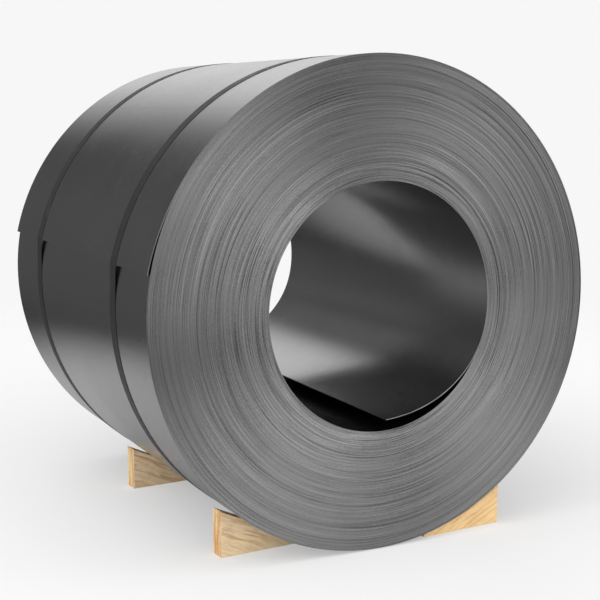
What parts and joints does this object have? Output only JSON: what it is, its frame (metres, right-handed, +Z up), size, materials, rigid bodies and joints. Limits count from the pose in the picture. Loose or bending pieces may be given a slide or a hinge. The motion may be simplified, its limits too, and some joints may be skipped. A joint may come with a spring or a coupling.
{
  "type": "steel coil",
  "caption": "Wound coil of dark sheet steel with a level eye, bound by steel straps round it and resting on sawn timber wedges.",
  "frame": {"origin": "on the floor under the middle of the coil: z = 0 is the undersides of the chocks, x = 0 and y = 0 are halfway across and halfway along the coil", "axes": "+Z up, +Y along the eye from the open front end towards the rear end, +X to the right seen from the front end"},
  "size_m": [1.0059, 0.914, 1.0065],
  "materials": {
    "sheet_steel": "dark oiled mill finish, smooth on the rolled faces and fine concentric lines on the cut ends",
    "strap_steel": "black painted and waxed steel strapping, satin",
    "sawn_wood": "rough sawn untreated softwood, matt"
  },
  "bodies": {
    "root": {"coil": "sheet_steel", "strap_front": "strap_steel", "strap_rear": "strap_steel", "chock_front_left": "sawn_wood", "chock_front_right": "sawn_wood", "chock_rear_left": "sawn_wood", "chock_rear_right": "sawn_wood"}
  },
  "joints": []
}
